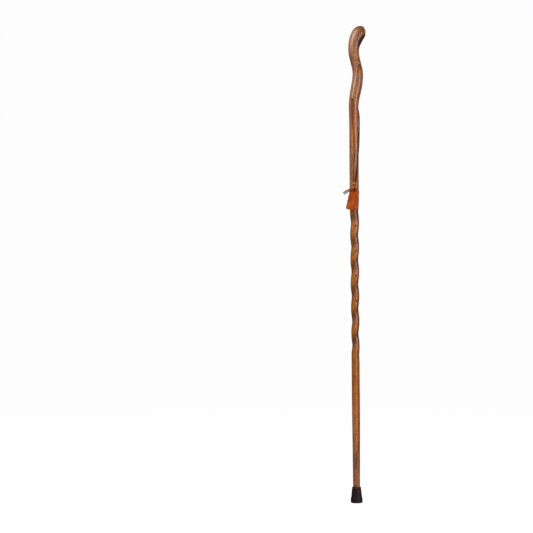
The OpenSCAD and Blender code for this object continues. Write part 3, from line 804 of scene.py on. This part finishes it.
def knotStrand(k):
    # points from the knot's middle, each with the direction of the lace's width: an arch of radius r in
    # front, between a start and an end inside the knot; k is 0 for the outer turn and 1 for the inner
    r, flare = knotSet["radii"][k], knotSet["flare"]
    f, m, b = knotSet["front"], knotSet["middle"], knotSet["back"]
    x, y, z = np.eye(3)
    low = -5.4 + 1.5 * k
    rows = [[(0.4 + 1.8 * k, m, 2), x], [(0.2 + 1.6 * k, m, -1.2), x],
            [(-0.6 + 1.0 * k, m - 0.2, low + 1.4), x + y],
            [(-2.2 + 0.8 * k, -0.5, low), y], [(-4.1 + 1.4 * k, -1.3, low + 1.7), y],
            [(-r, f, -0.8), y + flare * x], [(-0.74 * r, f - 0.2, 0.7 * r), y + 0.7 * flare * (x - z)],
            [(0, f - 0.3, r), y - flare * z], [(0.74 * r, f - 0.2, 0.7 * r), y - 0.7 * flare * (x + z)],
            [(r, f + 0.3, -0.6), y - flare * x], [(0.97 * r, f + 1.8, -2.6 + 0.4 * k), y + z],
            [(0.8 * r, 1.2, -3.4 + k), z], [(0.3 * r, b, -3.4 + 1.6 * k), z],
            [(-2.0, b - 0.2, -3.6 + 1.6 * k), z], [(-3.4, 0.9, -4.0 + 1.2 * k), z]]
    points, widths = (np.array(column) for column in zip(*rows))
    return np.hstack([knotMiddle + points, widths])


outerTurn = laceStrand("knotOuterTurn", knotStrand(0))[0]
innerTurn = laceStrand("knotInnerTurn", knotStrand(1))[0]
upperTail, upperPath = laceStrand("upperTail", withWidth(knotMiddle + upperSet["route"], upperSet["width"]))
lowerTail, lowerPath = laceStrand("lowerTail", withWidth(knotMiddle + lowerSet["route"], lowerSet["width"]))

# Hang tag: its sizes, how it hangs from the knot, its curl and its burnished rim
tagSet = {
    "width": 29, "length": 66, "thick": 2.5, "corner": 4, "holeD": 5.8, "holeDrop": 9, "drop": 17,
    "side": 2.2, "setBack": 1.2, "lean": 13, "clearance": 0.35, "soft": 0.55, "holeSoft": 0.4, "curl": 0.9,
    "curlStart": 8, "curlRun": 50, "sideCurl": 0.25, "burnishFrom": 0.93, "burnish": 0.6, "points": 200,
    "across": 26, "edgeRows": 9, "topPoints": 60, "cornerPoints": 12,
}

# The loop that carries the tag goes down its front, through its hole and up its back
tagHole = knotMiddle + [tagSet["side"], tagSet["setBack"], -tagSet["drop"]]
loopR = tagSet["thick"] / 2 + tagSet["clearance"] + thongSet["thick"] / 2
bend = np.radians(np.arange(-90, 91, 30))
uBend = tagHole + np.stack([0 * bend, loopR * np.sin(bend), loopR * (1 - np.cos(bend))], -1)
lift = np.array([-tagSet["side"], 0, tagSet["drop"] - loopR - tagSet["holeD"] / 2])
climb = np.array([[0.5], [0.95]]) * lift
drawIn = np.array([0, loopR / 2, 0])
loopRoute = np.vstack([uBend[0] + lift + drawIn, uBend[0] + climb[::-1], uBend,
                       uBend[-1] + climb, uBend[-1] + lift - drawIn])
tagLoop = laceStrand("tagLoop", withWidth(loopRoute, [1, 0, 0]))[0]

for piece, node in ((frontLeg, "thong_front_leg"), (rearLeg, "thong_rear_leg"), (outerTurn, "thong_knot"),
                    (innerTurn, "thong_knot"), (upperTail, "thong_upper_tail"),
                    (lowerTail, "thong_lower_tail"), (tagLoop, "tag_loop")):
    dress(piece, lace, "thong", node)


def tagOutline():
    # a half circle over straight sides, with small round lower corners, spaced evenly
    half, corner = tagSet["width"] / 2, tagSet["corner"]
    cornerY = half - tagSet["length"] + corner
    rows = np.vstack([arc((0, 0), half, 0, 180, tagSet["topPoints"]),
                      arc((corner - half, cornerY), corner, 180, 270, tagSet["cornerPoints"]),
                      arc((half - corner, cornerY), corner, 270, 360, tagSet["cornerPoints"]),
                      [[half, 0]]])
    run = runAlong(rows)
    return rowsAt(np.linspace(0, run[-1], tagSet["points"], endpoint=False), run, rows)


def tagGrid():
    # one closed sheet: across the front from the hole's rim to the outline, round the cut edge, back across
    # behind, and round the hole's rim
    outline = tagOutline()
    eyelet = np.array([0, tagSet["width"] / 2 - tagSet["holeDrop"]])
    outward = unit(outline - eyelet)
    rim = eyelet + tagSet["holeD"] / 2 * outward
    half, soft, holeSoft = tagSet["thick"] / 2, tagSet["soft"], tagSet["holeSoft"]
    share = np.linspace(0, 1, tagSet["across"])
    turn = np.radians(np.linspace(0, 180, tagSet["edgeRows"]))[1:-1]
    inset, edgeY = soft * (1 - np.sin(turn))[:, None, None], -half * np.cos(turn)
    face = outline - rim - (1 + holeSoft) * soft * outward
    face = rim + soft * holeSoft * outward + face * share[:, None, None]
    edge, holeEdge = outline - inset * outward, rim + holeSoft * inset * outward
    flat = np.concatenate([face, edge, face[::-1], holeEdge[::-1]]) - eyelet
    depth = np.concatenate([np.full(len(share), -half), edgeY, np.full(len(share), half), edgeY[::-1]])
    nearEdge = (share - tagSet["burnishFrom"]) / (1 - tagSet["burnishFrom"])
    burnish = np.clip(nearEdge, 0, 1) * tagSet["burnish"]
    edgeMark = np.ones(len(turn))
    rimMark = np.concatenate([burnish, edgeMark, burnish[::-1], edgeMark])
    backMark = np.concatenate([0 * share, 0 * edgeMark, np.ones(len(share)), 0 * edgeMark])
    # the sheet curls forward towards its foot and a little at its sides
    curl = tagSet["curl"] * fade((-flat[..., 1] - tagSet["curlStart"]) / tagSet["curlRun"]) ** 2
    curl = curl + tagSet["sideCurl"] * (flat[..., 0] / (tagSet["width"] / 2)) ** 2
    lean = math.radians(tagSet["lean"])
    x = flat[..., 0] * math.cos(lean) + flat[..., 1] * math.sin(lean)
    z = -flat[..., 0] * math.sin(lean) + flat[..., 1] * math.cos(lean)
    sheet = tagHole + np.stack([x, depth[:, None] - curl, z], -1)
    return sheet, {"rim": rimMark[:, None], "back": backMark[:, None]}


tagSheet, tagMarks = tagGrid()
tag = skin("hangTag", tagSheet, wrap=True, marks=tagMarks)
dress(tag, tagHide, "tag", "hang_tag")
print("tag:", len(tag.data.polygons), "faces")


def lengthOf(path):
    return float(runAlong(path)[-1]) * mm


def holeMouth(azimuth):  # where a leg leaves the wood
    facing, z = math.radians(azimuth), holeZ - thongSet["seat"]
    radius = float(staffRadius(z, facing))
    return np.array([holeX + radius * math.cos(facing), radius * math.sin(facing), z]) * mm


holeMouth(frontSet["azimuth"])
holeMouth(rearSet["azimuth"])
print("thong: legs", round(lengthOf(frontPath), 3), round(lengthOf(rearPath), 3), "knot, tails and loop")

# Stage, in metres: a pale sweep, soft lights and the camera of the whole view
stageSet = {
    "half": 60, "back": 6, "wall": 30, "bend": 1.5, "bendRows": 24, "below": 0.0005,
    "paper": (0.1, 0.1, 0.1, 1), "glow": 0.96, "skyGlow": 0.05,
}
lightSet = {
    "keyLight": {"place": (-1.5, -0.95, 2.4), "aim": (0, 0, 1.25), "size": (1.6, 1.6), "power": 60,
                 "tint": (1, 1, 1)},
    "sideLight": {"place": (1.8, -1.9, 1.0), "aim": (0, 0, 1.0), "size": (0.8, 1.4), "power": 51,
                  "tint": (1, 0.95, 0.91)},
}
cameraSet = {"place": (-0.259, -4.5, 0.694), "lens": 103.7, "roll": -0.44}


def paleSweep():
    # a floor that turns up into a wall: a quarter circle joins the two
    half, back, bendR = stageSet["half"], stageSet["back"], stageSet["bend"]
    turn = np.linspace(0, np.pi / 2, stageSet["bendRows"])
    y = np.concatenate([[-half], back - bendR + bendR * np.sin(turn), [back]])
    z = np.concatenate([[0], bendR * (1 - np.cos(turn)), [stageSet["wall"]]]) - stageSet["below"]
    points = np.stack([np.tile([-half, half], len(y)), np.repeat(y, 2), np.repeat(z, 2)], -1)
    k = 2 * np.arange(len(y) - 1)
    mesh = bpy.data.meshes.new("paleSweep")
    mesh.from_pydata(points.tolist(), [], np.stack([k, k + 1, k + 3, k + 2], -1).tolist())
    mesh.polygons.foreach_set("use_smooth", np.ones(len(k), bool))
    piece = linked("paleSweep", mesh)
    coat(piece, finished(newFinish("palePaper"), {
        "Roughness": 0.9, "Base Color": stageSet["paper"], "Emission Color": (1, 1, 1, 1),
        "Emission Strength": stageSet["glow"]}))
    # the paper is only seen: it throws no light back on the staff, so the staff's edges stay dark
    piece.visible_diffuse, piece.visible_glossy = False, False


def softLight(name, place, aim, size, power, tint):
    lamp = bpy.data.lights.new(name, "AREA")
    lamp.shape, lamp.size, lamp.size_y = "RECTANGLE", *size
    lamp.energy, lamp.color = power, tint
    piece = linked(name, lamp)
    piece.location = place
    piece.rotation_euler = (Vector(aim) - Vector(place)).to_track_quat("-Z", "Y").to_euler()


paleSweep()
for name, light in lightSet.items():
    softLight(name, **light)

world = bpy.data.worlds.new("studio")
world.use_nodes = True
sky = world.node_tree.nodes["Background"].inputs
sky["Color"].default_value = (1, 1, 1, 1)
sky["Strength"].default_value = stageSet["skyGlow"]
scene = bpy.context.scene
scene.world = world
scene.view_settings.view_transform = "Standard"

camera = linked("camera", bpy.data.cameras.new("camera"))
camera.data.lens = cameraSet["lens"]
camera.matrix_world = (Matrix.Translation(cameraSet["place"]) @ Matrix.Rotation(math.pi / 2, 4, "X")
                       @ Matrix.Rotation(math.radians(cameraSet["roll"]), 4, "Z"))
scene.camera = camera
print("stage: sweep, lights and camera")
